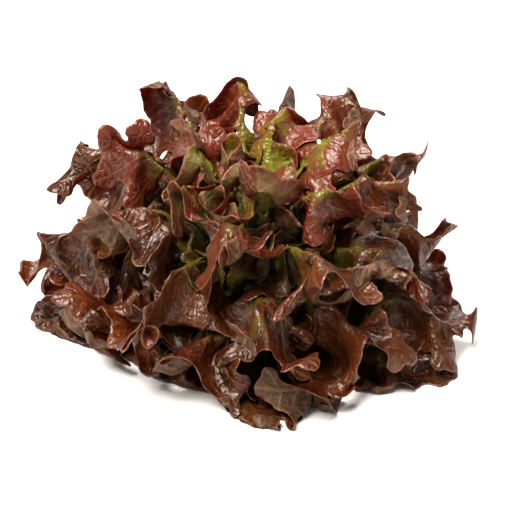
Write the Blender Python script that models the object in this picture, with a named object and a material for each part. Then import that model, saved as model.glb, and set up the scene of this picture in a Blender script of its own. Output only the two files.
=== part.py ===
"""Head of red oak leaf lettuce: a short cut stem and the rosette of lobed leaves that grow from it.

Metres, +Z up. The origin is the centre of the stem's cut face, which stands on the surface.
-Y is the front, where the head opens and its leaves lie lowest.

Each leaf is one closed sheet with a thick midrib. It lies on a surface turned about the
stem's axis, and the leaves' surfaces nest inside each other from the outermost leaf, which
lies along the surface, to the heart, which stands up. Nested surfaces never meet, so the
leaves keep clear of each other however their edges overlap. A leaf's edges wave up and down
between the surfaces on either side of its own, by less than the gap to the next leaf that
reaches round over it.
"""

import math
import random

import bmesh
import bpy
import numpy as np

# Driving dimensions, in metres.
STEM_HEIGHT = 0.056
STEM_CUT_RADIUS = 0.0160
STEM_TIP_RADIUS = 0.0035
STEM_SIDES = 20
LEAF_GAP = 0.0005  # between a leaf's base and the stem
LOWEST_BASE = 0.0080  # height on the stem of the outermost leaf's base
HIGHEST_BASE = 0.0520  # and of the innermost leaf's

LEAF_GROUPS = (("outer_leaf", 12), ("middle_leaf", 14), ("inner_leaf", 13), ("heart_leaf", 9))
LEAF_COUNT = sum(count for _, count in LEAF_GROUPS)
GOLDEN_ANGLE = math.pi * (3 - math.sqrt(5))  # from one leaf to the next round the stem
FIRST_AZIMUTH = math.radians(268)
LEVEL_CROWDING = 1.15  # over 1 packs the outer leaves' levels closer than the heart's
SHORT_SIDE = math.radians(234)  # the side where the outer leaves are shortest
SHORT_SPREAD = math.radians(34)
SHORT_SHARE = 0.36

# How a leaf's course changes with its level, from 0 (outermost) to 1 (innermost).
LEVELS = (0.0, 0.1, 0.2, 0.35, 0.5, 0.65, 0.8, 0.9, 1.0)
TIP_RADIUS = (0.141, 0.143, 0.143, 0.140, 0.132, 0.112, 0.078, 0.046, 0.012)
TIP_HEIGHT = (0.003, 0.012, 0.027, 0.055, 0.086, 0.120, 0.139, 0.137, 0.112)
BASE_PITCH = (2, 22, 36, 52, 64, 73, 80, 84, 88)  # degrees above the horizon
TIP_PITCH = (-4, -36, -40, -30, -12, 10, 42, 66, 84)
HALF_WIDTH = (0.044, 0.045, 0.046, 0.045, 0.042, 0.037, 0.031, 0.025, 0.016)
SIDE_LOBES = (4, 4, 4, 4, 4, 4, 3, 3, 2)

WIDEST_WRAP = math.radians(80)  # how far round the stem a leaf's edge may reach
BASE_WRAP = math.radians(24)  # the same, at the leaf's base
LOBES_FROM = 0.28  # share of the leaf's length that is a lobeless stalk
SINUS_DEPTH = 0.52  # how deep the gaps between lobes cut in, as a share of the width
LOBE_SWEEP = 0.32  # how far a lobe leans towards the tip, as a share of its reach

BLADE_THICKNESS = 0.0009
RIB_THICKNESS = 0.0036  # at the base of the largest leaf
RIB_TIP_SHARE = 0.25
COURSE_SAMPLES = 60
COURSE_SPARE = 0.030  # straight on past the tip

EDGE_WAVES = 1.9  # along each edge of a leaf
WAVE_AT_RADIUS = (0.030, 0.060, 0.100, 0.120)
WAVE_IN_LEAVES = (0.3, 0.8, 1.3, 2.2)  # the wave's height there, counted in leaves' surfaces
FRONT_TO_BACK = 1.5  # per metre: the back stands this much taller than the front

RED_LEAF = (0.115, 0.036, 0.026, 1.0)
HEART_LEAF = (0.200, 0.120, 0.030, 1.0)
STEM_PALE = (0.640, 0.660, 0.420, 1.0)


def clear_scene():
    for obj in list(bpy.data.objects):
        bpy.data.objects.remove(obj, do_unlink=True)


def make_material(name, colour, roughness):
    material = bpy.data.materials.new(name)
    material.use_nodes = True
    shader = material.node_tree.nodes["Principled BSDF"]
    shader.inputs["Base Color"].default_value = colour
    shader.inputs["Roughness"].default_value = roughness
    return material


def at_level(values, level):
    return float(np.interp(level, LEVELS, values))


def stem_radius(height):
    share = min(max(height / STEM_HEIGHT, 0.0), 1.0)
    return STEM_CUT_RADIUS + (STEM_TIP_RADIUS - STEM_CUT_RADIUS) * share**1.4


def lean(point):
    """The whole head's lopsidedness: heights grow towards the back."""
    x, y, z = point
    return (x, y, z * (1 + FRONT_TO_BACK * y))


def leaf_course(level):
    """The midrib's course, as rows of (length along it, radius, height, pitch), and its length."""
    base_height = LOWEST_BASE + (HIGHEST_BASE - LOWEST_BASE) * level
    start = np.array([stem_radius(base_height) + LEAF_GAP, base_height])
    end = np.array([at_level(TIP_RADIUS, level), at_level(TIP_HEIGHT, level)])
    reach = np.linalg.norm(end - start)
    base_pitch = math.radians(at_level(BASE_PITCH, level))
    tip_pitch = math.radians(at_level(TIP_PITCH, level))
    leaving = reach * np.array([math.cos(base_pitch), math.sin(base_pitch)])
    arriving = reach * np.array([math.cos(tip_pitch), math.sin(tip_pitch)])
    t = np.linspace(0, 1, COURSE_SAMPLES)[:, None]
    points = (
        (2 * t**3 - 3 * t**2 + 1) * start
        + (t**3 - 2 * t**2 + t) * leaving
        + (3 * t**2 - 2 * t**3) * end
        + (t**3 - t**2) * arriving
    )
    points = np.vstack([points, points[-1] + COURSE_SPARE * arriving / reach])
    steps = np.diff(points, axis=0)
    along = np.concatenate([[0], np.cumsum(np.linalg.norm(steps, axis=1))])
    pitch = np.arctan2(steps[:, 1], steps[:, 0])
    pitch = np.concatenate([pitch, [tip_pitch]])
    return (along, points[:, 0], points[:, 1], pitch), along[-2]


def width_share(t, lobes):
    """A leaf's half width at share t of its length, as a share of its widest."""
    stalk = 0.20 + 0.80 * math.sin(0.5 * math.pi * min(t / 0.62, 1.0)) ** 2.2
    tip = math.sqrt(max(1 - (max(t - 0.62, 0) / 0.38) ** 2.4, 0.0))
    share = stalk * tip
    if t > LOBES_FROM:
        wave = abs(math.sin(math.pi * lobes * (t - LOBES_FROM) / (1 - LOBES_FROM)))
        share *= 1 - SINUS_DEPTH * (1 - wave**0.6) * (1 - 0.7 * t**4)
    return share


def row_shares(lobes):
    """Where along the leaf its rows of points lie: at each sinus and three times on each lobe."""
    rows = [0.0, 0.10, 0.20]
    lobe_length = (1 - LOBES_FROM) / lobes
    for lobe in range(lobes):
        rows += [LOBES_FROM + lobe_length * (lobe + part) for part in (0.0, 0.18, 0.5, 0.82)]
    return rows[:-1] + [0.945, 0.995]


COLUMNS = (-1.0, -0.5, 0.0, 0.5, 1.0)


def level_of(index):
    """The level of the surface that leaf number index lies on. Between two leaves it is a fraction."""
    share = min(max(index / (LEAF_COUNT - 1), 0.0), 1.0)
    return share**LEVEL_CROWDING


def edge_wave(t, column, phases):
    """How far a leaf's edge is above its own surface, from -1 to 1."""
    phase = phases[0] if column < 0 else phases[1]
    risen = math.sin(2 * math.pi * EDGE_WAVES * t + phase) * abs(column) ** 1.5
    return risen * min(max((t - 0.2) / 0.2, 0.0), 1.0)


def leaf_point(index, azimuth, along, across, wave, rise):
    """The place of a point of the flat leaf, along and across it, waved and raised by rise."""
    lengths, radii = leaf_course(level_of(index))[0][:2]
    swing = np.interp(np.interp(along, lengths, radii), WAVE_AT_RADIUS, WAVE_IN_LEAVES)
    swing *= max(wave, -index / swing)
    lengths, radii, heights, pitches = leaf_course(level_of(index + swing))[0]
    radius = np.interp(along, lengths, radii)
    height = np.interp(along, lengths, heights)
    pitch = np.interp(along, lengths, pitches)
    wrap = WIDEST_WRAP * math.tanh(across / (radius * WIDEST_WRAP))
    most = BASE_WRAP + (WIDEST_WRAP - BASE_WRAP) * min(along / 0.045, 1.0)
    turn = azimuth + most * math.tanh(wrap / most)
    radius -= rise * math.sin(pitch)
    height += rise * math.cos(pitch)
    return lean((radius * math.cos(turn), radius * math.sin(turn), height))


def side_share(level, azimuth):
    """The outer leaves' length on the head's short side, as a share of what it is elsewhere."""
    away = (azimuth - SHORT_SIDE + math.pi) % (2 * math.pi) - math.pi
    return 1 - SHORT_SHARE * math.exp(-((away / SHORT_SPREAD) ** 2)) * max(1 - 2 * level, 0)


def add_leaf(name, index, chance, material):
    level = level_of(index)
    azimuth = FIRST_AZIMUTH + index * GOLDEN_ANGLE
    length = leaf_course(level)[1] * chance.uniform(0.94, 1.04) * side_share(level, azimuth)
    half_width = at_level(HALF_WIDTH, level) * chance.uniform(0.92, 1.08)
    phases = [chance.uniform(0, 2 * math.pi) for _ in range(2)]
    lobes = SIDE_LOBES[int(level * (len(SIDE_LOBES) - 1))]
    rib = RIB_THICKNESS * half_width / max(HALF_WIDTH)
    upper, lower = [], []
    mesh = bmesh.new()
    for t in row_shares(lobes):
        reach = half_width * width_share(t, lobes)
        rib_here = rib * (1 - (1 - RIB_TIP_SHARE) * t)
        for column in COLUMNS:
            across = column * reach
            along = t * length + LOBE_SWEEP * abs(across) * min(2 * t, 1) * (1 - t**3)
            wave = edge_wave(t, column, phases)
            below = BLADE_THICKNESS / 2 + rib_here * max(0.0, 1 - 2 * abs(column))
            top = leaf_point(index, azimuth, along, across, wave, BLADE_THICKNESS / 2)
            bottom = leaf_point(index, azimuth, along, across, wave, -below)
            upper.append(mesh.verts.new(top))
            lower.append(mesh.verts.new(bottom))
    add_sheet_faces(mesh, upper, lower, len(COLUMNS))
    return finish_mesh(mesh, name, material)


def add_sheet_faces(mesh, upper, lower, columns):
    """Joins two grids of points, rows by columns, into one closed sheet."""
    rows = len(upper) // columns
    for row in range(rows - 1):
        for column in range(columns - 1):
            a = row * columns + column
            b = a + columns
            mesh.faces.new((upper[a], upper[b], upper[b + 1], upper[a + 1]))
            mesh.faces.new((lower[a], lower[a + 1], lower[b + 1], lower[b]))
    rim = list(range(columns))
    rim += [row * columns + columns - 1 for row in range(1, rows)]
    rim += [(rows - 1) * columns + column for column in range(columns - 2, -1, -1)]
    rim += [row * columns for row in range(rows - 2, 0, -1)]
    for i, j in zip(rim, rim[1:] + rim[:1]):
        mesh.faces.new((upper[i], upper[j], lower[j], lower[i]))


def finish_mesh(mesh, name, material):
    bmesh.ops.triangulate(mesh, faces=mesh.faces[:])
    bmesh.ops.recalc_face_normals(mesh, faces=mesh.faces[:])
    if mesh.calc_volume(signed=True) < 0:
        bmesh.ops.reverse_faces(mesh, faces=mesh.faces[:])
    data = bpy.data.meshes.new(name)
    mesh.to_mesh(data)
    mesh.free()
    data.materials.append(material)
    data.shade_smooth()
    data.set_sharp_from_angle(angle=math.radians(40))
    obj = bpy.data.objects.new(name, data)
    bpy.context.scene.collection.objects.link(obj)
    return obj


def add_stem(material):
    """The cut stem: a blunt cone with a flat cut face below and the growing tip above."""
    mesh = bmesh.new()
    heights = [STEM_HEIGHT * share for share in (0, 0.25, 0.5, 0.75, 0.92)]
    rings = []
    for height in heights:
        radius = stem_radius(height)
        turns = [2 * math.pi * side / STEM_SIDES for side in range(STEM_SIDES)]
        rings.append(
            [mesh.verts.new(lean((radius * math.cos(a), radius * math.sin(a), height))) for a in turns]
        )
    mesh.faces.new(rings[0])
    for low, high in zip(rings, rings[1:]):
        for i in range(STEM_SIDES):
            j = (i + 1) % STEM_SIDES
            mesh.faces.new((low[i], low[j], high[j], high[i]))
    tip = mesh.verts.new((0, 0, STEM_HEIGHT))
    for i in range(STEM_SIDES):
        mesh.faces.new((rings[-1][i], rings[-1][(i + 1) % STEM_SIDES], tip))
    return finish_mesh(mesh, "stem", material)


def leaf_names():
    """Leaves are counted from the outside in, within four groups."""
    return [f"{group}_{number + 1:02d}" for group, count in LEAF_GROUPS for number in range(count)]


def main():
    clear_scene()
    red = make_material("red_leaf", RED_LEAF, 0.5)
    heart = make_material("heart_leaf", HEART_LEAF, 0.45)
    add_stem(make_material("stem", STEM_PALE, 0.5))
    chance = random.Random(11)
    for index, name in enumerate(leaf_names()):
        add_leaf(name, index, chance, heart if name.startswith("heart") else red)


main()
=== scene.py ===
"""Looks of the head of red oak leaf lettuce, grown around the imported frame.

Each leaf is a flat sheet cut to a lobed outline and laid on its own nested surface, as the
CAD's leaves are. Then its lobes grow and curl. They bend out of the sheet, push against the
other leaves and pack together, as they do in a living head. The grown sheets are thickened
into closed leaves with a midrib, and take their colours from where a point lies on its leaf.
"""

import math
import random
from concurrent.futures import ThreadPoolExecutor

import bpy
import numpy as np
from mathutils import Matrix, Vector


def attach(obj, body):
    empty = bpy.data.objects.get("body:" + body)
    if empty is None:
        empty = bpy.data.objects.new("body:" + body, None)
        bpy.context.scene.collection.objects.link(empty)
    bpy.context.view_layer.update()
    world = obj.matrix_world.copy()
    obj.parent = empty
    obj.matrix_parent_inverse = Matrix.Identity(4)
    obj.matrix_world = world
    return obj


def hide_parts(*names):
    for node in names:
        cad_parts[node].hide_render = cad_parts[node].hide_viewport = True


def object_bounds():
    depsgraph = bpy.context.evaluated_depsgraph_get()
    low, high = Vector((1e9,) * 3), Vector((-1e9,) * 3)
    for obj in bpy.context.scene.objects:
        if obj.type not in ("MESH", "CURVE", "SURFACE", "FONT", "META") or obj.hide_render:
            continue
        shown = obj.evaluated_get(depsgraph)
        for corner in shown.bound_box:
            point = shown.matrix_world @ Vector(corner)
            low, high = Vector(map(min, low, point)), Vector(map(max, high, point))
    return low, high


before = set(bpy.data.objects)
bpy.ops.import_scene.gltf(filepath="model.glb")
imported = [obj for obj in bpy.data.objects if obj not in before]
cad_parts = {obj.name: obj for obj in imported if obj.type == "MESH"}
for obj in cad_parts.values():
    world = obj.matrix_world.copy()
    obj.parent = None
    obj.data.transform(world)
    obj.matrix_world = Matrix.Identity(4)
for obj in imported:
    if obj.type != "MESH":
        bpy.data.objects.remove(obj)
cad_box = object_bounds()

MM = 0.001

# ---- the nested surfaces, which are the CAD's apart from TIP_HEIGHT -------------------------
STEM_HEIGHT = 0.056
STEM_CUT_RADIUS = 0.0160
STEM_TIP_RADIUS = 0.0035
STEM_TAPER = 1.4  # over 1 keeps the stem wide for longer
LEAF_GAP = 0.0005  # between a leaf's base and the stem
LOWEST_BASE = 0.0080  # height on the stem of the outermost leaf's base
HIGHEST_BASE = 0.0520  # and of the innermost leaf's
LEAF_GROUPS = (("outer_leaf", 12), ("middle_leaf", 14), ("inner_leaf", 13), ("heart_leaf", 9))
LEAF_COUNT = sum(count for _, count in LEAF_GROUPS)
LEAF_SEED = 11  # the CAD's, so that the leaves' lengths and widths vary alike
GOLDEN_ANGLE = math.pi * (3 - math.sqrt(5))  # from one leaf to the next round the stem
FIRST_AZIMUTH = math.radians(268)
LEVEL_CROWDING = 1.15  # over 1 packs the outer leaves' levels closer than the heart's
# a leaf's level runs from 0, the outermost, to 1, the innermost; the rows below are for these
LEVELS = (0.0, 0.1, 0.2, 0.35, 0.5, 0.65, 0.8, 0.9, 1.0)
TIP_RADIUS = (0.141, 0.143, 0.143, 0.140, 0.132, 0.112, 0.078, 0.046, 0.012)
# higher than the CAD's, because the leaves settle as they grow
TIP_HEIGHT = (0.003, 0.012, 0.028, 0.059, 0.094, 0.130, 0.149, 0.147, 0.127)
BASE_PITCH = (2, 22, 36, 52, 64, 73, 80, 84, 88)  # degrees above the horizon
TIP_PITCH = (-4, -36, -40, -30, -12, 10, 42, 66, 84)
HALF_WIDTH = (0.044, 0.045, 0.046, 0.045, 0.042, 0.037, 0.031, 0.025, 0.016)
WIDEST_WRAP = math.radians(80)  # how far round the stem a leaf's edge may reach
BASE_WRAP = math.radians(24)  # the same, at the leaf's base
WRAP_WIDENS = 0.045  # over this length from the base
COURSE_SAMPLES = 60
COURSE_SPARE = 0.030  # straight on past the tip
FRONT_TO_BACK = 1.5  # per metre: the back stands this much taller than the front
FULL_FOOTPRINT = 0.142  # where the footprint is shorter than this, so are the outer leaves

# ---- the flat leaf before it grows ----------------------------------------------------------
SPACING = 1.5 * MM  # between the sheet's points
START_LENGTH = 0.94  # of the CAD leaf's length; growth adds the rest
START_WIDTH = 0.90
SIDE_LOBES = (5, 5, 5, 5, 5, 5, 5, 4, 4)  # lobes along each side, for the levels above
FIRST_LOBE = 0.22  # where the first pair of lobes leaves the midrib, as a share of the length
LAST_LOBE = 0.80
TIP_LOBE = 0.78  # where the tip's lobe leaves it
TIP_LOBE_LENGTH = 0.19
MIDRIB_BEND = 0.30  # up to here the blade along the midrib narrows fast, then slowly
MIDRIB_END = 0.84
OUTER_SIZE = 0.90  # in mm, the unit for the widths below, on the outer leaves
HEART_SIZE_LOSS = 0.22  # how much smaller that unit is on the heart leaves
MIDRIB_WIDTHS = (7.0, 4.2, 3.4)  # half-widths of the blade at the base, the bend and the end
SIDE_LOBE_WIDTHS = (2.7, 4.6)  # half-widths of a lobe at its root and at its round end
TIP_LOBE_WIDTHS = (3.4, 5.0)
LOBELET_WIDTH = 2.6  # half-width of a lobe's own lobes at their root
SHORT_LOBE = 24  # a shorter lobe has one pair of such lobes, and a longer one has two
BLEND = 0.8 * MM  # how softly one strip's outline runs into the next one's
LEAF_SPARE = 20 * MM  # how far the grid goes past the leaf's length and width

# ---- growth ---------------------------------------------------------------------------------
STEPS = 220
GROWING_SHARE = 0.65  # of the steps; the rest let the leaves settle
STALK_SHARE = 0.2  # of a leaf's length doesn't grow, and the next part grows less
MARGIN_DEPTH = 4 * MM  # this far in from the margin, growth is lower
CURL_DEPTH = 3 * MM  # this far in from the margin, a lobe curls
LOBE_GROWTH = 0.64  # how much a lobe's margin grows, as a share of its size
HEART_RUFFLE = 0.30  # how much more the heart leaves grow
CURL_PUSH = 0.085 * MM  # per step, at the margin of a lobe that curls the most
CURLS_DOWN = 0.70  # the share of the lobes whose margins curl down
LIFT_PUSH = 0.040 * MM  # per step, on a lobe that lifts or droops
SAG = 0.015 * MM  # per step
MOMENTUM = 0.85  # the share of its last move that a point repeats
TOP_SPEED = 1.0 * MM  # the most that it repeats, along each axis
STRETCH_EASE = 1.1  # over 1 overshoots a little, so that the distances settle sooner
STIFFNESS = 0.55  # how far each pass takes a bulge towards those round it
HOLD = 0.5  # how much of its way back a held point goes in a step
LEAF_CLEARANCE = 2.3 * MM  # closer points push apart, unless they are near on the same leaf
SEPARATION = 0.25  # the share of what is missing that each of the two makes up in a step
SEARCH_REACH = 3.8 * MM  # how far each point looks for such points
SEARCH_EVERY = 5  # steps
ROUNDINGS = 1  # passes at the end
ROUNDING = 0.35  # how far each takes a point towards the middle of its neighbours
DOME = (0.150, 0.156, 2.6)  # radius, height and squareness of the space that the leaves fill
DOME_PULL = 0.4  # how much of its way back a point outside goes in a step
OVERHANG = 0.045  # height over which that space widens from the footprint to the dome
TOP_SPARE = 2 * MM  # how far above the CAD the top is
SOFT_TOP = 8 * MM  # how far below the top points begin to be pressed down
TOP_PULL = 0.3  # how much of their way back they go in a step
# azimuth in degrees, and how far from the stem the lowest leaves reach there
FOOTPRINT = (
    (0, 0.146), (60, 0.144), (120, 0.142), (165, 0.138), (182, 0.140), (195, 0.106),
    (215, 0.084), (258, 0.084), (270, 0.128), (282, 0.131), (293, 0.128), (306, 0.096),
    (318, 0.134), (326, 0.146), (360, 0.146),
)
FLOOR_CLEARANCE = 0.8 * MM  # from the floor to the middle of a sheet

# ---- the leaf's thickness -------------------------------------------------------------------
BLADE = 0.55 * MM
RIB_RADIUS = 2.3 * MM  # at the base of the outermost leaf
VEIN_HEIGHT = 0.35 * MM  # how far the lobes' veins stand out
VEIN_WIDTH = 0.9 * MM
MAP_BORDER = 1.5 * MM  # room round each side of a leaf on its bake map


def at_level(values, level):
    return float(np.interp(level, LEVELS, values))


def stem_radius(height):
    share = np.clip(height / STEM_HEIGHT, 0.0, 1.0)
    return STEM_CUT_RADIUS + (STEM_TIP_RADIUS - STEM_CUT_RADIUS) * share**STEM_TAPER


def leaf_course(level):
    """The midrib's course, as rows of (length along it, radius, height), and its length."""
    base_height = LOWEST_BASE + (HIGHEST_BASE - LOWEST_BASE) * level
    start = np.array([stem_radius(base_height) + LEAF_GAP, base_height])
    end = np.array([at_level(TIP_RADIUS, level), at_level(TIP_HEIGHT, level)])
    reach = np.linalg.norm(end - start)
    base_pitch = math.radians(at_level(BASE_PITCH, level))
    tip_pitch = math.radians(at_level(TIP_PITCH, level))
    leaving = reach * np.array([math.cos(base_pitch), math.sin(base_pitch)])
    arriving = reach * np.array([math.cos(tip_pitch), math.sin(tip_pitch)])
    t = np.linspace(0, 1, COURSE_SAMPLES)[:, None]
    points = (
        (2 * t**3 - 3 * t**2 + 1) * start
        + (t**3 - 2 * t**2 + t) * leaving
        + (3 * t**2 - 2 * t**3) * end
        + (t**3 - t**2) * arriving
    )
    points = np.vstack([points, points[-1] + COURSE_SPARE * arriving / reach])
    steps = np.diff(points, axis=0)
    along = np.concatenate([[0], np.cumsum(np.linalg.norm(steps, axis=1))])
    return (along, points[:, 0], points[:, 1]), along[-2]


def lay_on_surface(course, azimuth, flat):
    """Places points of the flat leaf on its nested surface."""
    lengths, radii, heights = course
    along, across = flat[:, 0], flat[:, 1]
    radius = np.interp(along, lengths, radii)
    height = np.interp(along, lengths, heights)
    wrap = WIDEST_WRAP * np.tanh(across / (radius * WIDEST_WRAP))
    most = BASE_WRAP + (WIDEST_WRAP - BASE_WRAP) * np.clip(along / WRAP_WIDENS, 0, 1)
    turn = azimuth + most * np.tanh(wrap / most)
    placed = np.stack([radius * np.cos(turn), radius * np.sin(turn), height], axis=1)
    placed[:, 2] *= 1 + FRONT_TO_BACK * placed[:, 1]
    return placed


def footprint(azimuth):
    """How far from the stem the leaves reach at floor level."""
    return np.interp(np.degrees(azimuth) % 360, *zip(*FOOTPRINT))


def side_share(level, azimuth):
    """The outer leaves' length where the footprint is short, as a share of the full length."""
    reached = min(float(footprint(azimuth)) / FULL_FOOTPRINT, 1.0)
    return 1 - (1 - reached) * max(1 - 2 * level, 0)


# ---- the flat leaf --------------------------------------------------------------------------
class Strip:
    """A round-ended strip of the flat leaf, wider or narrower from its start to its end."""

    def __init__(self, start, end, near_radius, far_radius, lobe):
        self.start = np.array(start, float)
        self.run = np.array(end, float) - self.start
        self.radii = (near_radius, far_radius)
        self.lobe = lobe

    def share_along(self, points):
        return np.clip((points - self.start) @ self.run / (self.run @ self.run), 0, 1)

    def gap_to(self, points):
        share = self.share_along(points)
        away = np.linalg.norm(points - self.start - share[:, None] * self.run, axis=1)
        return away - (self.radii[0] + (self.radii[1] - self.radii[0]) * share)

    def side_of(self, points):
        """How far points lie to the left of the strip's middle line."""
        across = np.array([-self.run[1], self.run[0]]) / np.linalg.norm(self.run)
        return (points - self.start) @ across


def leaf_strips(length, half_width, pairs, size, chance):
    """The midrib and the lobes of a leaf. Strips of lobe 0 are the midrib's."""
    bend, end = (MIDRIB_BEND * length, 0), (MIDRIB_END * length, 0)
    wide, middling, narrow = (width * size for width in MIDRIB_WIDTHS)
    strips = [Strip((0, 0), bend, wide, middling, 0), Strip(bend, end, middling, narrow, 0)]
    lobe = 0
    for pair in range(pairs):
        share = pair / (pairs - 1)
        reach = half_width * (0.62 + 0.38 * math.sin(math.pi * (0.10 + 0.65 * share)))
        for side in (-1, 1):
            lobe += 1
            place = FIRST_LOBE + (LAST_LOBE - FIRST_LOBE) * share + chance.uniform(-0.02, 0.02)
            angle = side * math.radians(66 - 28 * share + chance.uniform(-6, 6))
            far = reach * chance.uniform(0.78, 1.10)
            strips += lobe_strips(length * place, angle, far, SIDE_LOBE_WIDTHS, lobe, size, chance)
    angle = math.radians(chance.uniform(-8, 8))
    start, far = TIP_LOBE * length, TIP_LOBE_LENGTH * length
    return strips + lobe_strips(start, angle, far, TIP_LOBE_WIDTHS, lobe + 1, size, chance)


def lobe_strips(start, angle, far, widths, lobe, size, chance):
    """A lobe that leaves the midrib at start, and the rounded lobes on the lobe's own sides."""
    start = np.array((start, 0.0))
    way = np.array([math.cos(angle), math.sin(angle)])
    strips = [Strip(start, start + far * way, widths[0] * size, widths[1] * size, lobe)]
    places = (0.62,) if far < SHORT_LOBE * size else (0.42, 0.74)
    for side in (-1, 1):
        for place in places:
            turn = angle + side * math.radians(chance.uniform(40, 62))
            root = start + far * (place + chance.uniform(-0.06, 0.06)) * way
            length = chance.uniform(5.5, 8.0) * size
            tip = root + length * np.array([math.cos(turn), math.sin(turn)])
            far_radius = chance.uniform(3.3, 4.3) * size
            strips.append(Strip(root, tip, LOBELET_WIDTH * size, far_radius, lobe))
    return strips


def outline_field(points, strips):
    """The distance from points to the leaf's outline, below zero inside, and the nearest strip."""
    gaps = np.array([strip.gap_to(points) for strip in strips])
    least = gaps.min(axis=0)
    field = least - BLEND * np.log(np.exp((least - gaps) / BLEND).sum(axis=0))
    return field, gaps.argmin(axis=0)


def grid_faces(rows, columns):
    """The triangles of a grid whose odd rows are shifted half a step, with sides all alike."""
    corner = np.arange(rows * columns).reshape(rows, columns)
    a, b = corner[:-1, :-1], corner[:-1, 1:]
    c, d = corner[1:, :-1], corner[1:, 1:]
    even = (np.arange(rows - 1) % 2 == 0)[:, None, None]
    first = np.where(even, np.stack([a, c, b], 2), np.stack([a, d, b], 2))
    second = np.where(even, np.stack([b, c, d], 2), np.stack([a, c, d], 2))
    return np.vstack([first.reshape(-1, 3), second.reshape(-1, 3)])


def enclosed(outside):
    """The outside points of a grid that the leaf closes in: small holes, which are filled."""
    reached = np.zeros_like(outside)
    reached[0, :], reached[-1, :] = outside[0, :], outside[-1, :]
    reached[:, 0], reached[:, -1] = outside[:, 0], outside[:, -1]
    count = -1
    while count != reached.sum():
        count = reached.sum()
        for axis in (0, 1):
            for step in (-1, 1):
                reached |= np.roll(reached, step, axis) & outside
    return outside & ~reached


def without_teeth(faces):
    """Takes off triangles that hang on by one edge, and any that then hang on by none."""
    sides = ((0, 1), (1, 2), (2, 0))
    for _ in range(3):
        rim = {tuple(sorted(edge)) for edge in rim_edges(faces).tolist()}
        free = [
            sum(tuple(sorted((face[i], face[j]))) in rim for i, j in sides)
            for face in faces.tolist()
        ]
        faces = faces[np.array(free) < 2]
    return faces


def largest_part(faces, count):
    """The triangles of the largest connected part."""
    label = np.arange(count)
    edges = np.vstack([faces[:, [0, 1]], faces[:, [1, 2]]])
    while True:
        least = np.minimum(label[edges[:, 0]], label[edges[:, 1]])
        spread = label.copy()
        np.minimum.at(spread, edges[:, 0], least)
        np.minimum.at(spread, edges[:, 1], least)
        spread = spread[spread]
        if (spread == label).all():
            break
        label = spread
    own = label[faces[:, 0]]
    return faces[own == np.bincount(own).argmax()]


def leaf_sheet(length, half_width, strips):
    """The flat leaf's points and triangles, with its margin on the strips' outline, and which
    points fill small holes."""
    side = half_width + LEAF_SPARE
    rows = np.arange(-12 * MM, length + LEAF_SPARE, SPACING * math.sqrt(0.75))
    columns = np.arange(-side, side, SPACING)
    u, v = np.meshgrid(rows, columns, indexing="ij")
    v = v + 0.5 * SPACING * (np.arange(len(rows)) % 2)[:, None]
    points = np.stack([u.ravel(), v.ravel()], axis=1)
    field = outline_field(points, strips)[0]
    field[points[:, 0] < 0] = 1.0  # far outside, so that the base is cut straight
    inside = field < 0.25 * SPACING
    filling = enclosed(~inside.reshape(u.shape)).ravel()
    faces = grid_faces(len(rows), len(columns))
    faces = faces[(inside | filling)[faces].all(axis=1)]
    faces = largest_part(without_teeth(faces), len(points))
    used, faces = np.unique(faces, return_inverse=True)
    faces = faces.reshape(-1, 3)
    points = points[used]
    rim = np.unique(rim_edges(faces))
    rim = rim[points[rim, 0] > SPACING]
    fit_rim(points, rim, strips)
    return points, faces, filling[used]


def fit_rim(points, rim, strips):
    """Moves the rim's points onto the outline, though none by more than half a spacing."""
    step = 0.05 * MM
    before = points[rim]
    for _ in range(3):
        here = points[rim]
        gap = outline_field(here, strips)[0]
        slope = [outline_field(here + way, strips)[0] - gap for way in ([step, 0], [0, step])]
        slope = np.stack(slope, axis=1) / step
        steep = np.maximum((slope**2).sum(axis=1), 0.25)
        points[rim] -= (gap / steep)[:, None] * slope
    moved = points[rim] - before
    length = np.linalg.norm(moved, axis=1)[:, None]
    points[rim] = before + moved * np.minimum(1, 0.5 * SPACING / (length + 1e-9))


def rim_edges(faces):
    """The edges that only one triangle has, each in its triangle's direction."""
    edges = np.vstack([faces[:, [0, 1]], faces[:, [1, 2]], faces[:, [2, 0]]])
    either_way = np.sort(edges, axis=1)
    _, first, count = np.unique(either_way, axis=0, return_index=True, return_counts=True)
    return edges[first[count == 1]]


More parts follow.
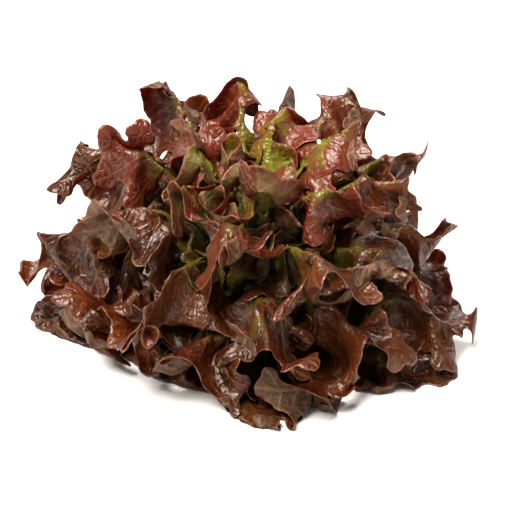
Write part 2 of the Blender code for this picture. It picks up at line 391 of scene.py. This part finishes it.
class Leaf:
    """One leaf: its flat sheet, where that lies before growth, and how each point grows."""

    def __init__(self, index, name, draws):
        self.name = name
        self.level = (index / (LEAF_COUNT - 1)) ** LEVEL_CROWDING
        azimuth = FIRST_AZIMUTH + index * GOLDEN_ANGLE
        course, full_length = leaf_course(self.level)
        self.length = full_length * draws.uniform(0.94, 1.04) * side_share(self.level, azimuth)
        self.length *= START_LENGTH
        self.half_width = at_level(HALF_WIDTH, self.level) * draws.uniform(0.92, 1.08) * START_WIDTH
        for _ in range(2):  # the CAD draws two more numbers for a leaf
            draws.uniform(0, 1)
        pairs = SIDE_LOBES[int(self.level * (len(SIDE_LOBES) - 1))]
        towards_heart = float(np.clip((self.level - 0.5) / 0.35, 0, 1))
        size = MM * (OUTER_SIZE - HEART_SIZE_LOSS * towards_heart)
        strips = leaf_strips(self.length, self.half_width, pairs, size, random.Random(index))
        self.flat, self.faces, filling = leaf_sheet(self.length, self.half_width, strips)
        field, nearest = outline_field(self.flat, strips)
        self.margin = np.maximum(-field, 1.5 * MM * filling)
        self.lobe = np.array([strip.lobe for strip in strips])[nearest]
        self.share = self.flat[:, 0] / self.length
        self.measure_veins(strips, nearest)
        self.placed = lay_on_surface(course, azimuth, self.flat)
        self.set_growth(np.random.default_rng(index))

    def measure_veins(self, strips, nearest):
        """How far each point is to the side of its strip's vein, and along it."""
        self.beside = np.zeros(len(self.flat))
        self.along = np.zeros(len(self.flat))
        for number, strip in enumerate(strips):
            own = nearest == number
            self.beside[own] = strip.side_of(self.flat[own])
            self.along[own] = strip.share_along(self.flat[own]) * np.linalg.norm(strip.run)

    def set_growth(self, noise):
        """How much each point grows, how firmly it is held, and which way it is pushed."""
        bladed = np.clip((self.share - STALK_SHARE) / 0.15, 0, 1)
        at_margin = np.exp(-((self.margin / MARGIN_DEPTH) ** 1.5))
        in_lobe = np.where(self.lobe > 0, 1.0, 0.2)
        ruffled = 1 + HEART_RUFFLE * np.clip((self.level - 0.7) / 0.2, 0, 1)
        self.growth = 1 + LOBE_GROWTH * ruffled * (0.65 + 0.35 * at_margin) * bladed * in_lobe
        rib = np.clip(1.3 - np.abs(self.flat[:, 1]) / (3 * MM), 0, 1)
        hold = rib * np.clip(1.4 - 1.6 * self.share, 0.02, 1)
        self.hold = np.maximum(hold, np.clip(1 - self.share / 0.15, 0, 1))
        lobes = self.lobe.max() + 1
        down_or_up = noise.choice([-1.0, 1.0], lobes, p=[CURLS_DOWN, 1 - CURLS_DOWN])
        curl = down_or_up * noise.uniform(0.4, 1.0, lobes)
        curl *= 1 - 0.6 * np.clip((self.level - 0.6) / 0.2, 0, 1)
        lift = noise.normal(0, 1, lobes)
        lift[0] = 0
        rolled = np.exp(-((self.margin / CURL_DEPTH) ** 2)) - 0.35
        outward = np.clip(np.abs(self.flat[:, 1]) / self.half_width, 0, 1.2)
        outward += np.clip((self.share - 0.8) / 0.2, 0, 1)
        curling = CURL_PUSH * curl[self.lobe] * rolled
        self.push = bladed * (curling + LIFT_PUSH * lift[self.lobe] * outward)


# ---- growth ---------------------------------------------------------------------------------
def padded_lists(owners, others, count):
    """The others of each of count owners, as rows filled up with the owner itself, then 1 for
    each true entry and 0 for the filling, and how many true ones each row has."""
    order = np.argsort(owners, kind="stable")
    owners, others = owners[order], others[order]
    sizes = np.bincount(owners, minlength=count)
    starts = np.concatenate([[0], np.cumsum(sizes)[:-1]])
    place = np.arange(len(owners)) - starts[owners]
    table = np.tile(np.arange(count)[:, None], (1, sizes.max()))
    table[owners, place] = others
    filled = np.zeros(table.shape, np.float32)
    filled[owners, place] = 1
    return table, filled, sizes


def squared(vectors):
    return np.einsum("...i,...i->...", vectors, vectors)


class Growth:
    """All the leaves as one set of points, which keep their grown distances and keep apart."""

    PART = 6000  # points to a task

    def __init__(self, leaves):
        def joined(name):
            return np.concatenate([getattr(leaf, name) for leaf in leaves]).astype(np.float32)

        self.ends = np.cumsum([len(leaf.flat) for leaf in leaves])
        starts = self.ends - [len(leaf.flat) for leaf in leaves]
        self.place, self.flat = joined("placed"), joined("flat")
        self.hold, self.push = joined("hold")[:, None], joined("push")[:, None]
        self.anchor = self.place.copy()
        self.leaf = np.repeat(np.arange(len(leaves)), [len(leaf.flat) for leaf in leaves])
        self.faces = np.vstack([leaf.faces + start for leaf, start in zip(leaves, starts)])
        count = len(self.place)
        edges = np.vstack([self.faces[:, [0, 1]], self.faces[:, [1, 2]], self.faces[:, [2, 0]]])
        both = np.unique(np.vstack([edges, edges[:, ::-1]]), axis=0)
        self.near, self.filled, sizes = padded_lists(both[:, 0], both[:, 1], count)
        self.inverse = (1 / sizes).astype(np.float32)[:, None]
        self.rest = np.sqrt(squared(self.flat[self.near] - self.flat[:, None]))
        growth = joined("growth")
        self.swelling = self.rest * (0.5 * (growth[self.near] + growth[:, None]) - 1)
        owner = np.repeat(np.arange(len(self.faces)), 3)
        self.around, self.around_filled, _ = padded_lists(self.faces.ravel(), owner, count)
        self.around *= self.around_filled.astype(int)
        self.pool = ThreadPoolExecutor(4)

    def in_parts(self, work, count):
        """Runs work on slices of count rows, side by side. Each slice writes only its own rows."""
        slices = [slice(start, start + self.PART) for start in range(0, count, self.PART)]
        list(self.pool.map(work, slices))

    def normals(self):
        facing = np.empty((len(self.faces), 3), np.float32)
        found = np.empty_like(self.place)

        def of_faces(part):
            a, b, c = (self.place[self.faces[part, k]] for k in range(3))
            facing[part] = np.cross(b - a, c - a)

        def of_points(part):
            total = np.einsum("ijk,ij->ik", facing[self.around[part]], self.around_filled[part])
            found[part] = total / (np.sqrt(squared(total))[:, None] + 1e-12)

        self.in_parts(of_faces, len(self.faces))
        self.in_parts(of_points, len(self.place))
        return found

    def stretch(self, grown):
        """Moves each point towards its grown distances to its neighbours."""
        moved = np.empty_like(self.place)

        def work(part):
            wanted = self.rest[part] + self.swelling[part] * grown
            apart = self.place[self.near[part]] - self.place[part, None]
            length = np.sqrt(squared(apart)) + 1e-9
            share = (1 - wanted / length) * self.filled[part] * (STRETCH_EASE * self.inverse[part])
            moved[part] = self.place[part] + np.einsum("ijk,ij->ik", apart, share)

        self.in_parts(work, len(self.place))
        self.place = moved

    def bend(self, normals):
        """Evens out how far each point bulges from its neighbours, so that bends are wide."""
        bulge = np.empty_like(self.place)
        moved = np.empty_like(self.place)

        def measure(part):
            mean = np.einsum("ijk,ij->ik", self.place[self.near[part]], self.filled[part])
            mean = mean * self.inverse[part] - self.place[part]
            height = np.einsum("ij,ij->i", mean, normals[part])
            bulge[part] = normals[part] * height[:, None]

        def even_out(part):
            mean = np.einsum("ijk,ij->ik", bulge[self.near[part]], self.filled[part])
            moved[part] = self.place[part] + STIFFNESS * (bulge[part] - mean * self.inverse[part])

        self.in_parts(measure, len(self.place))
        self.in_parts(even_out, len(self.place))
        self.place = moved

    def close_pairs(self):
        """Pairs of points that are near in space but not on the same leaf's sheet."""
        cell = np.floor(self.place / SEARCH_REACH).astype(np.int64)
        cell -= cell.min(axis=0) - 1
        size = cell.max(axis=0) + 2
        key = (cell[:, 0] * size[1] + cell[:, 1]) * size[2] + cell[:, 2]
        order = np.argsort(key, kind="stable")
        key, place, leaf, flat = key[order], self.place[order], self.leaf[order], self.flat[order]
        everyone = np.arange(len(key))

        def search(step):
            shift = (step[0] * size[1] + step[1]) * size[2] + step[2]
            first = np.searchsorted(key, key + shift, "left") if shift else everyone + 1
            count = np.maximum(np.searchsorted(key, key + shift, "right") - first, 0)
            a = np.repeat(everyone, count)
            b = np.arange(len(a)) - np.repeat(np.cumsum(count) - count, count) + first[a]
            close = squared(place[a] - place[b]) < SEARCH_REACH**2
            a, b = a[close], b[close]
            apart = squared(flat[a] - flat[b]) > (2.2 * SEARCH_REACH) ** 2
            free = (leaf[a] != leaf[b]) | apart
            return order[a[free]], order[b[free]]

        # the point's own cell and half of those round it, so that each pair comes once
        steps = [(x, y, z) for x in (-1, 0, 1) for y in (-1, 0, 1) for z in (-1, 0, 1)]
        found = list(self.pool.map(search, steps[len(steps) // 2 :]))
        return tuple(np.concatenate([pair[k] for pair in found]) for k in (0, 1))

    def push_apart(self, pairs):
        """Moves points of close pairs away from each other."""
        a, b = pairs
        between = self.place[a] - self.place[b]
        length = np.sqrt(squared(between)) + 1e-9
        short = np.maximum(LEAF_CLEARANCE - length, 0)
        between *= (SEPARATION * short / length)[:, None]

        def along_axis(k):
            pushed = np.bincount(a, between[:, k], len(self.place))
            pushed -= np.bincount(b, between[:, k], len(self.place))
            return pushed

        self.place += np.stack(list(self.pool.map(along_axis, range(3))), axis=1).astype(np.float32)

    def keep_in(self, top):
        """Keeps all points above the floor, under the top and inside the dome."""
        x, y, z = self.place.T
        radius = np.hypot(x, y)
        wide, high, square = DOME
        dome = wide * np.maximum(1 - np.clip(z / high, 0, 1) ** square, 0.02) ** (1 / square)
        foot = np.minimum(footprint(np.arctan2(y, x)), dome)
        allowed = foot + (dome - foot) * np.clip(z / OVERHANG, 0, 1)
        over = np.maximum(radius - allowed, 0)
        self.place[:, :2] *= (1 - DOME_PULL * over / (radius + 1e-6))[:, None]
        z = z - TOP_PULL * np.maximum(z - (top - SOFT_TOP), 0)
        self.place[:, 2] = np.clip(z, FLOOR_CLEARANCE, top)

    def run(self, steps, top):
        """Grows the lobes, then lets the leaves settle."""
        before = self.place
        pairs = None
        for step in range(steps):
            grown = min(1.0, step / (GROWING_SHARE * steps))
            speed = np.clip((self.place - before) * MOMENTUM, -TOP_SPEED, TOP_SPEED)
            before = self.place
            normals = self.normals()
            self.place = self.place + speed + normals * (self.push * grown)
            self.place[:, 2:] -= SAG * (1 - self.hold)
            if step % SEARCH_EVERY == 0:
                pairs = self.close_pairs()
            self.stretch(grown)
            self.stretch(grown)
            self.bend(normals)
            self.bend(normals)
            self.push_apart(pairs)
            self.place += (self.anchor - self.place) * (self.hold * HOLD)
            self.keep_in(top)
        for _ in range(ROUNDINGS):
            self.round_off()

    def round_off(self):
        """Draws each point a little towards its neighbours, which rounds the tips and creases."""
        mean = np.einsum("ijk,ij->ik", self.place[self.near], self.filled) * self.inverse
        self.place += ROUNDING * (1 - self.hold) * (mean - self.place)


# ---- closed leaves --------------------------------------------------------------------------
def rib_height(leaf):
    """How far the midrib and the lobes' veins stand out below the blade."""
    radius = RIB_RADIUS * (0.45 + 0.55 * (1 - leaf.level)) * np.clip(1.05 - leaf.share, 0.15, 1)
    across = np.abs(leaf.flat[:, 1]) / (1.7 * radius)
    rib = radius * np.sqrt(np.clip(1 - across**2, 0, 1))
    vein = VEIN_HEIGHT * np.exp(-((leaf.beside / VEIN_WIDTH) ** 2)) * (leaf.lobe > 0)
    return rib + vein


def add_leaf(leaf, place, normals, materials):
    """Makes a closed leaf of a grown sheet: its upper side, its underside and the rim between."""
    half = 0.5 * BLADE * np.clip(0.35 + leaf.margin / (3 * MM), 0, 1)
    upper = place + normals * half[:, None]
    lower = place - normals * (half + rib_height(leaf))[:, None]
    count = len(place)
    rim = rim_edges(leaf.faces)
    a, b = rim[:, 0], rim[:, 1]
    mesh = bpy.data.meshes.new(leaf.name + "_look")
    top = leaf.faces.tolist()
    rest = (leaf.faces[:, ::-1] + count).tolist()
    rest += np.stack([b, a, a + count, b + count], axis=1).tolist()
    mesh.from_pydata(np.vstack([upper, lower]).tolist(), [], top + rest)
    mesh.polygons.foreach_set("material_index", [0] * len(top) + [1] * len(rest))
    for material in materials:
        mesh.materials.append(material)
    heart = np.clip((leaf.level - 0.62) / 0.25, 0, 1)
    # each leaf has its own slice of the patterns and its own tint
    slice_height, leaf_tint = (leaf.level * 7.31) % 1.0, (leaf.level * 13.7) % 1.0
    write_vectors(mesh, "flat", leaf.flat[:, 0], leaf.flat[:, 1], slice_height)
    write_vectors(mesh, "vein", leaf.beside, leaf.along, lobe_tint(leaf))
    write_vectors(mesh, "leafy", leaf.share, leaf.margin, redness(leaf))
    write_vectors(mesh, "leaf_kind", heart, leaf_tint, 0)
    write_bake_map(mesh, leaf, rim)
    mesh.shade_smooth()
    piece = bpy.data.objects.new(leaf.name + "_look", mesh)
    bpy.context.scene.collection.objects.link(piece)
    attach(piece, "root")
    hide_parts(leaf.name)


def write_bake_map(mesh, leaf, rim):
    """A map for exporters that bake: the flat upper side, and beside it the flat underside with
    the rim's faces as a border."""
    low, high = leaf.flat.min(axis=0) - MAP_BORDER, leaf.flat.max(axis=0) + MAP_BORDER
    scale = min(0.5 / (high[1] - low[1]), 1 / (high[0] - low[0]))
    under = (leaf.flat - low)[:, ::-1] * scale + [0.5, 0]
    upper = under * [-1, 1] + [1, 0]
    a, b = rim[:, 0], rim[:, 1]
    way = under[b] - under[a]
    outward = np.stack([-way[:, 1], way[:, 0]], axis=1)
    outward *= 0.5 * MAP_BORDER * scale / np.linalg.norm(outward, axis=1)[:, None]
    border = np.stack([under[b] + outward, under[a] + outward, under[a], under[b]], axis=1)
    corners = [upper[leaf.faces], under[leaf.faces[:, ::-1]], border]
    corners = np.concatenate([part.reshape(-1, 2) for part in corners]).astype(np.float32)
    mesh.uv_layers.new(name="OFBake").data.foreach_set("uv", corners.ravel())


def write_vectors(mesh, name, *numbers):
    """Stores three numbers for each point of the sheet, on both its sides alike."""
    count = len(mesh.vertices) // 2
    values = np.stack([np.broadcast_to(number, count) for number in numbers], axis=1)
    values = np.tile(values, (2, 1)).astype(np.float32)
    mesh.attributes.new(name, "FLOAT_VECTOR", "POINT").data.foreach_set("vector", values.ravel())


def lobe_tint(leaf):
    """A number from 0 to 1 for each lobe, scattered so that neighbours differ."""
    spread = np.sin(leaf.lobe * 12.9898 + leaf.level * 78.233) * 43758.5453
    return spread - np.floor(spread)


def redness(leaf):
    """0 where the leaf is green, 1 where it is red: the lobes and the margin redden first."""
    outward = np.abs(leaf.flat[:, 1]) / leaf.half_width
    near_margin = np.exp(-leaf.margin / (3 * MM))
    heart = np.clip((leaf.level - 0.70) / 0.2, 0, 1)
    out = 1.05 * leaf.share + 0.75 * outward - 0.36
    return np.clip(np.clip(out, 0, 1.2) * (1 - 0.46 * heart) + 0.35 * near_margin * leaf.share, 0, 1)


# ---- materials ------------------------------------------------------------------------------
class Nodes:
    """Shorthand for building a material's node tree."""

    # a Mix node's sockets for colours, which share their names with those for other types
    COLOUR_A, COLOUR_B, COLOUR_RESULT = 6, 7, 2

    def __init__(self, name):
        self.material = bpy.data.materials.new(name)
        self.material.use_nodes = True
        self.tree = self.material.node_tree
        self.tree.nodes.clear()

    def add(self, kind, **values):
        node = self.tree.nodes.new("ShaderNode" + kind)
        for name, value in values.items():
            setattr(node, name, value)
        return node

    def put(self, socket, value):
        if isinstance(value, bpy.types.NodeSocket):
            self.tree.links.new(value, socket)
        else:
            socket.default_value = value

    def maths(self, operation, *values):
        node = self.add("Math", operation=operation)
        for socket, value in zip(node.inputs, values):
            self.put(socket, value)
        return node.outputs[0]

    def ramp(self, value, low, high):
        """0 at low, 1 at high, smooth between."""
        node = self.add("MapRange", interpolation_type="SMOOTHSTEP")
        self.put(node.inputs["Value"], value)
        node.inputs["From Min"].default_value = low
        node.inputs["From Max"].default_value = high
        return node.outputs["Result"]

    def mix(self, share, first, second):
        node = self.add("Mix", data_type="RGBA")
        self.put(node.inputs["Factor"], share)
        self.put(node.inputs[self.COLOUR_A], first)
        self.put(node.inputs[self.COLOUR_B], second)
        return node.outputs[self.COLOUR_RESULT]

    def vector(self, name):
        """The three numbers that write_vectors stored under this name, as one vector."""
        return self.add("Attribute", attribute_name=name).outputs["Vector"]

    def numbers(self, name):
        """The same three numbers one by one."""
        split = self.add("SeparateXYZ")
        self.put(split.inputs[0], self.vector(name))
        return split.outputs

    def noise(self, vector, scale, detail):
        node = self.add("TexNoise")
        self.put(node.inputs["Vector"], vector)
        node.inputs["Scale"].default_value = scale
        node.inputs["Detail"].default_value = detail
        return node.outputs["Fac"]

    def cells(self, vector, scale):
        """Distance to the edge of a cell of a net of veins."""
        node = self.add("TexVoronoi", feature="DISTANCE_TO_EDGE")
        self.put(node.inputs["Vector"], vector)
        node.inputs["Scale"].default_value = scale
        return node.outputs["Distance"]

    def bump(self, height, distance):
        node = self.add("Bump")
        node.inputs["Distance"].default_value = distance
        self.put(node.inputs["Height"], height)
        return node.outputs["Normal"]

    def finish(self, surface):
        output = self.add("OutputMaterial")
        self.tree.links.new(surface, output.inputs["Surface"])
        return self.material


# the patterns' scales are in cells to the metre, roughly
PATCH_SCALE = 70
MOTTLE_SCALE = 420
NET_SCALE = 380
SIDE_VEIN_SPACING = 4.6 * MM
SIDE_VEIN_SLANT = -1.1
LEAF_RELIEF = 0.28 * MM
STEM_RELIEF = 0.2 * MM
# green is the blade's green, pale the stalk's and lively the heart's; wine, brown and bright are
# the reds of dark lobes, of lighter lobes and of the heart; rim is painted light, a pale line along
# the margin for where the thin edge catches the light and lets it through; through is the share of
# the light that goes through, and vein_side is 1 where the veins stand out and -1 where they are
# sunk in
UPPER = dict(
    name="leaf_upper",
    green=(0.120, 0.132, 0.010, 1), pale=(0.40, 0.43, 0.13, 1), lively=(0.270, 0.300, 0.028, 1),
    wine=(0.017, 0.0026, 0.0012, 1), brown=(0.086, 0.0215, 0.0038, 1),
    bright=(0.200, 0.013, 0.008, 1), vein=(0.11, 0.045, 0.014, 1), rim=(0.20, 0.092, 0.055, 1),
    roughness=(0.26, 0.40), gloss=0.48, through=0.20, vein_side=-1.0,
    through_red=(0.70, 0.13, 0.018, 1), through_green=(0.55, 0.58, 0.08, 1),
)
UNDER = dict(
    name="leaf_under",
    green=(0.120, 0.122, 0.026, 1), pale=(0.42, 0.45, 0.21, 1), lively=(0.240, 0.260, 0.055, 1),
    wine=(0.040, 0.017, 0.0085, 1), brown=(0.082, 0.042, 0.0195, 1),
    bright=(0.135, 0.030, 0.018, 1), vein=(0.17, 0.11, 0.058, 1), rim=(0.22, 0.11, 0.070, 1),
    roughness=(0.42, 0.60), gloss=0.30, through=0.20, vein_side=1.0,
    through_red=(0.70, 0.13, 0.018, 1), through_green=(0.55, 0.58, 0.08, 1),
)


def leaf_material(look):
    """A leaf's side, coloured by where a point lies on the flat leaf. look is one of the above."""
    nodes = Nodes(look["name"])
    flat = nodes.vector("flat")
    beside, along, lobe_tint = nodes.numbers("vein")
    share, margin, red = nodes.numbers("leafy")
    heart, leaf_tint = nodes.numbers("leaf_kind")[:2]
    patches = nodes.noise(flat, PATCH_SCALE, 3.0)
    mottle = nodes.noise(flat, MOTTLE_SCALE, 2.0)
    away = nodes.maths("ABSOLUTE", beside)

    # lines of side veins that leave each lobe's vein at a slant
    slant = nodes.maths("MULTIPLY_ADD", away, SIDE_VEIN_SLANT, along)
    wobble = nodes.maths("MULTIPLY_ADD", patches, 0.004, slant)
    wave = nodes.maths("SINE", nodes.maths("MULTIPLY", wobble, 2 * math.pi / SIDE_VEIN_SPACING))
    side_vein = nodes.ramp(wave, 0.80, 1.0)
    main_vein = nodes.ramp(away, 0.0011, 0.0002)
    net = nodes.cells(flat, NET_SCALE)
    net_vein = nodes.ramp(net, 0.10, 0.0)
    veins = nodes.maths("MAXIMUM", main_vein, nodes.maths("MULTIPLY", side_vein, 0.6))

    # green at the stalk and in the heart, red on the lobes, each lobe and leaf of its own tone
    reddened = nodes.maths("MULTIPLY_ADD", nodes.maths("SUBTRACT", patches, 0.52), 1.3, red)
    red_share = nodes.ramp(reddened, 0.22, 0.72)
    tone = nodes.maths("MULTIPLY_ADD", lobe_tint, 0.45, nodes.maths("MULTIPLY", patches, 0.8))
    tone = nodes.maths("MULTIPLY_ADD", leaf_tint, 0.25, tone)
    reds = nodes.mix(nodes.ramp(tone, 0.38, 1.15), look["wine"], look["brown"])
    reds = nodes.mix(nodes.maths("MULTIPLY", heart, 0.75), reds, look["bright"])
    greens = nodes.mix(nodes.ramp(share, 0.42, 0.05), look["green"], look["pale"])
    greens = nodes.mix(nodes.maths("MULTIPLY", heart, 0.8), greens, look["lively"])
    colour = nodes.mix(red_share, greens, reds)
    colour = nodes.mix(nodes.maths("MULTIPLY", mottle, 0.35), colour, look["wine"])
    colour = nodes.mix(nodes.maths("MULTIPLY", veins, 0.55), colour, look["vein"])
    colour = nodes.mix(nodes.maths("MULTIPLY", net_vein, 0.25), colour, look["vein"])
    # painted light: the last 0.9 mm in from the margin is paled towards rim, for the thin edge
    # catching the light and letting it through
    painted_margin_light = nodes.maths("MULTIPLY", nodes.ramp(margin, 0.0009, 0.0001), 0.6)
    colour = nodes.mix(painted_margin_light, colour, look["rim"])

    # the blade is puffed up between the veins of the net
    puffs = nodes.ramp(net, 0.0, 0.42)
    raised = nodes.maths("MULTIPLY", veins, look["vein_side"])
    height = nodes.maths("ADD", nodes.maths("MULTIPLY", puffs, -look["vein_side"]), raised)
    height = nodes.maths("MULTIPLY_ADD", mottle, 0.25, height)
    normal = nodes.bump(height, LEAF_RELIEF)

    shader = nodes.add("BsdfPrincipled")
    nodes.put(shader.inputs["Base Color"], colour)
    low, high = look["roughness"]
    rough = nodes.maths("MULTIPLY_ADD", mottle, high - low, low)
    nodes.put(shader.inputs["Roughness"], rough)
    nodes.put(shader.inputs["Normal"], normal)
    shader.inputs["Specular IOR Level"].default_value = look["gloss"]
    lit = nodes.add("BsdfTranslucent")
    nodes.put(lit.inputs["Color"], nodes.mix(red_share, look["through_green"], look["through_red"]))
    nodes.put(lit.inputs["Normal"], normal)
    both = nodes.add("MixShader")
    both.inputs[0].default_value = look["through"]
    nodes.tree.links.new(shader.outputs[0], both.inputs[1])
    nodes.tree.links.new(lit.outputs[0], both.inputs[2])
    return nodes.finish(both.outputs[0])


def stem_material():
    """Pale stem tissue with fine mottling and rusty patches of dried latex."""
    nodes = Nodes("stem_flesh")
    where = nodes.add("TexCoord").outputs["Object"]
    fibres = nodes.noise(where, 600.0, 3.0)
    patches = nodes.noise(where, 90.0, 3.0)
    colour = nodes.mix(nodes.ramp(patches, 0.35, 0.75), (0.62, 0.64, 0.38, 1), (0.42, 0.30, 0.12, 1))
    colour = nodes.mix(nodes.maths("MULTIPLY", fibres, 0.4), colour, (0.75, 0.76, 0.58, 1))
    shader = nodes.add("BsdfPrincipled")
    nodes.put(shader.inputs["Base Color"], colour)
    nodes.put(shader.inputs["Roughness"], nodes.maths("MULTIPLY_ADD", patches, 0.3, 0.35))
    nodes.put(shader.inputs["Normal"], nodes.bump(fibres, STEM_RELIEF))
    return nodes.finish(shader.outputs[0])


# ---- stage and camera -----------------------------------------------------------------------
FLOOR_HALF = 3.0
FLOOR_WHITE = 0.92
# each lamp's name, place, power in watts and width
LAMPS = (
    ("key", (-0.75, -0.65, 2.1), 158, 1.5),
    ("fill", (1.5, -1.2, 0.9), 7, 1.2),
    ("back", (0.3, 1.9, 1.5), 38, 1.2),
)
LAMP_TARGET = Vector((0, 0, 0.06))
LAMP_COLOUR = (1.0, 0.955, 0.89)
LEVEL_LIGHT = 0.80  # the world's strength at eye level
OVERHEAD_LIGHT = 0.10
FADE = (0.05, 0.40)  # the sine of the elevation where the first starts to fade, and is gone
CAMERA_ELEVATION = math.radians(28)
CAMERA_DISTANCE = 1.15
CAMERA_TARGET = Vector((0.006, 0.0, 0.050))
VIEW_WIDTH = 0.322  # what the picture spans at the target


def add_stage():
    mesh = bpy.data.meshes.new("floor")
    corners = [(x * FLOOR_HALF, y * FLOOR_HALF, 0) for x, y in ((-1, -1), (1, -1), (1, 1), (-1, 1))]
    mesh.from_pydata(corners, [], [(0, 1, 2, 3)])
    nodes = Nodes("floor_white")
    shader = nodes.add("BsdfPrincipled")
    shader.inputs["Base Color"].default_value = (FLOOR_WHITE, FLOOR_WHITE, FLOOR_WHITE, 1)
    shader.inputs["Roughness"].default_value = 0.6
    mesh.materials.append(nodes.finish(shader.outputs[0]))
    floor = bpy.data.objects.new("floor", mesh)
    bpy.context.scene.collection.objects.link(floor)
    world = bpy.data.worlds.new("studio")
    bpy.context.scene.world = world
    world.use_nodes = True
    light_the_world(world.node_tree)
    for name, place, power, size in LAMPS:
        add_light(name, Vector(place), power, size)
    bpy.context.scene.view_settings.view_transform = "Standard"
    bpy.context.scene.view_settings.look = "Medium High Contrast"


def light_the_world(tree):
    """A studio that is pale at eye level and dimmer overhead, so that the head's gaps stay dark."""
    where = tree.nodes.new("ShaderNodeTexCoord")
    split = tree.nodes.new("ShaderNodeSeparateXYZ")
    fade = tree.nodes.new("ShaderNodeMapRange")
    fade.interpolation_type = "SMOOTHSTEP"
    fade.inputs["From Min"].default_value, fade.inputs["From Max"].default_value = FADE
    fade.inputs["To Min"].default_value = LEVEL_LIGHT
    fade.inputs["To Max"].default_value = OVERHEAD_LIGHT
    tree.links.new(where.outputs["Generated"], split.inputs[0])
    tree.links.new(split.outputs["Z"], fade.inputs["Value"])
    tree.links.new(fade.outputs["Result"], tree.nodes["Background"].inputs["Strength"])
    tree.nodes["Background"].inputs["Color"].default_value = (1, 1, 1, 1)


def add_light(name, place, power, size):
    light = bpy.data.lights.new(name, "AREA")
    light.energy = power
    light.size = size
    light.color = LAMP_COLOUR
    lamp = bpy.data.objects.new(name, light)
    lamp.location = place
    lamp.rotation_euler = (LAMP_TARGET - place).to_track_quat("-Z", "Y").to_euler()
    bpy.context.scene.collection.objects.link(lamp)


def add_camera():
    camera = bpy.data.cameras.new("camera")
    camera.lens = camera.sensor_width * CAMERA_DISTANCE / VIEW_WIDTH
    eye = bpy.data.objects.new("camera", camera)
    back = Vector((0, -math.cos(CAMERA_ELEVATION), math.sin(CAMERA_ELEVATION)))
    eye.location = CAMERA_TARGET + CAMERA_DISTANCE * back
    eye.rotation_euler = (-back).to_track_quat("-Z", "Y").to_euler()
    bpy.context.scene.collection.objects.link(eye)
    bpy.context.scene.camera = eye


def main():
    add_camera()
    draws = random.Random(LEAF_SEED)
    names = [f"{group}_{number + 1:02d}" for group, count in LEAF_GROUPS for number in range(count)]
    leaves = [Leaf(index, name, draws) for index, name in enumerate(names)]
    growth = Growth(leaves)
    growth.run(STEPS, cad_box[1][2] + TOP_SPARE)
    normals = growth.normals()
    materials = [leaf_material(UPPER), leaf_material(UNDER)]
    for leaf, end in zip(leaves, growth.ends):
        own = slice(end - len(leaf.flat), end)
        add_leaf(leaf, growth.place[own], normals[own], materials)
    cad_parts["stem"].material_slots[0].material = stem_material()
    add_stage()


main()
